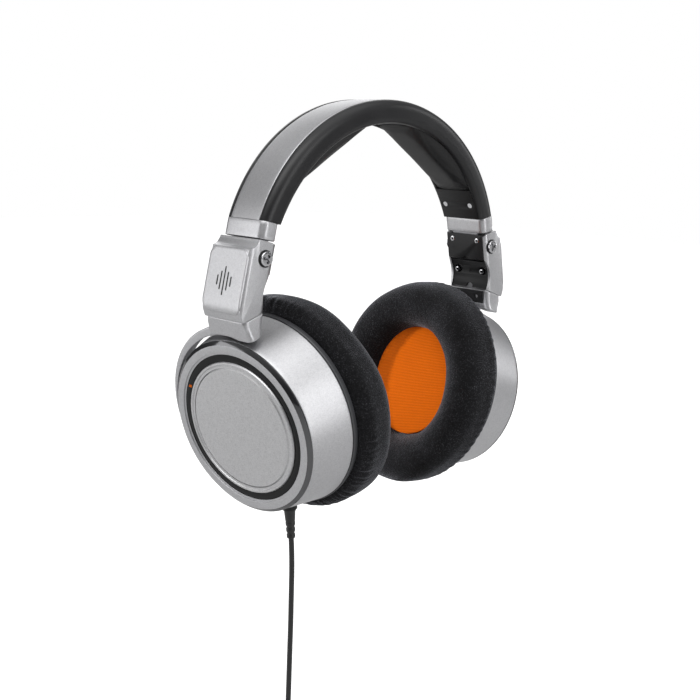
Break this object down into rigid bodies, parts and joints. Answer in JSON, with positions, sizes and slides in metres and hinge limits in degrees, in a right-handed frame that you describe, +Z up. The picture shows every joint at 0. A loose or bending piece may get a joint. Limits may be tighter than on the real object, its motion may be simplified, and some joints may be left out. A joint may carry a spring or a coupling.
{
  "type": "over ear headphones",
  "caption": "Over-ear headphones with a padded sprung headband, adjustable folding hinges, rear yokes, round drum cups, velour ear pads and a detachable cable.",
  "frame": {"origin": "middle of the crown, where the crown cushions rest on the head", "axes": "+X to the wearer's left, +Y to the rear, +Z up"},
  "size_m": [0.177, 0.0998, 0.3509],
  "materials": {
    "band_cover": "soft satin cover, smooth",
    "cushion_leather": "soft matt cushion cover",
    "satin_metal": "fine satin metallic",
    "satin_disc": "bead blasted",
    "polished_rim": "turned and polished edge",
    "gloss_black": "gloss",
    "black_plastic": "fine moulded grain",
    "pad_ring_plastic": "matt",
    "spring_steel": "drawn",
    "screw_steel": "polished",
    "magnet_iron": "plated",
    "driver_film": "thin film",
    "velour": "short pile",
    "orange_cloth": "fine knit",
    "cable_rubber": "matt",
    "tie_fabric": "hook and loop",
    "plug_metal": "turned"
  },
  "bodies": {
    "headband": {"headband_cover": "band_cover", "headband_spring": "spring_steel", "headband_trim": "satin_metal", "left_crown_cushion": "cushion_leather", "right_crown_cushion": "cushion_leather", "left_end_plate": "black_plastic", "right_end_plate": "black_plastic", "end_plate_screws": "screw_steel", "left_collar": "satin_metal", "right_collar": "satin_metal"},
    "left_slider": {"left_slider_rail": "spring_steel", "left_knuckle": "black_plastic", "left_knuckle_screws": "screw_steel", "left_pivot_screws": "screw_steel", "left_pivot_washers": "black_plastic"},
    "left_block": {"left_hinge_block": "satin_metal", "left_block_cover": "black_plastic", "left_cover_screws": "screw_steel"},
    "left_yoke": {"left_yoke_arm": "satin_metal", "left_yoke_cover": "black_plastic", "left_swivel_pin": "screw_steel", "left_carrier_ring": "spring_steel"},
    "left_cup": {"left_cup_shell": "satin_metal", "left_rim_ring": "polished_rim", "left_black_ring": "gloss_black", "left_centre_disc": "satin_disc", "left_pad_ring": "pad_ring_plastic", "left_ear_pad": "velour", "left_baffle": "black_plastic", "left_baffle_cloth": "orange_cloth", "left_driver_dome": "driver_film", "left_driver_magnet": "magnet_iron"},
    "right_slider": {"right_slider_rail": "spring_steel", "right_knuckle": "black_plastic", "right_knuckle_screws": "screw_steel", "right_pivot_screws": "screw_steel", "right_pivot_washers": "black_plastic"},
    "right_block": {"right_hinge_block": "satin_metal", "right_block_cover": "black_plastic", "right_cover_screws": "screw_steel"},
    "right_yoke": {"right_yoke_arm": "satin_metal", "right_yoke_cover": "black_plastic", "right_swivel_pin": "screw_steel", "right_carrier_ring": "spring_steel"},
    "right_cup": {"right_cup_shell": "satin_metal", "right_rim_ring": "polished_rim", "right_black_ring": "gloss_black", "right_centre_disc": "satin_disc", "right_pad_ring": "pad_ring_plastic", "right_ear_pad": "velour", "right_baffle": "black_plastic", "right_baffle_cloth": "orange_cloth", "right_driver_dome": "driver_film", "right_driver_magnet": "magnet_iron", "jack_socket": "black_plastic", "cable_boot": "cable_rubber", "cable_cord": "cable_rubber", "cable_coil": "cable_rubber", "cable_tie": "tie_fabric", "jack_plug": "plug_metal"}
  },
  "joints": [
    {"name": "left_adjust", "type": "slide", "parent": "headband", "child": "left_slider", "axis": [0.1994, 0, -0.9799], "range_m": [0, 0.018]},
    {"name": "left_fold", "type": "hinge", "parent": "left_slider", "child": "left_block", "pos_m": [0.0756, 0, -0.0523], "axis": [0, 1, 0], "range_deg": [0, 15]},
    {"name": "left_swivel", "type": "hinge", "parent": "left_block", "child": "left_yoke", "pos_m": [0.08058, 0, -0.0768], "axis": [0.3173, 0, 0.9483], "range_deg": [-12, 12]},
    {"name": "left_tilt", "type": "hinge", "parent": "left_yoke", "child": "left_cup", "pos_m": [0.06679, 0.00205, -0.12624], "axis": [-0.108, -0.9942, 0], "range_deg": [-4, 4]},
    {"name": "right_adjust", "type": "slide", "parent": "headband", "child": "right_slider", "axis": [-0.1994, 0, -0.9799], "range_m": [0, 0.018]},
    {"name": "right_fold", "type": "hinge", "parent": "right_slider", "child": "right_block", "pos_m": [-0.0756, 0, -0.0523], "axis": [0, 1, 0], "range_deg": [-15, 0]},
    {"name": "right_swivel", "type": "hinge", "parent": "right_block", "child": "right_yoke", "pos_m": [-0.08058, 0, -0.0768], "axis": [-0.3173, 0, 0.9483], "range_deg": [-12, 12]},
    {"name": "right_tilt", "type": "hinge", "parent": "right_yoke", "child": "right_cup", "pos_m": [-0.06679, 0.00205, -0.12624], "axis": [0.108, -0.9942, 0], "range_deg": [-4, 4]}
  ]
}
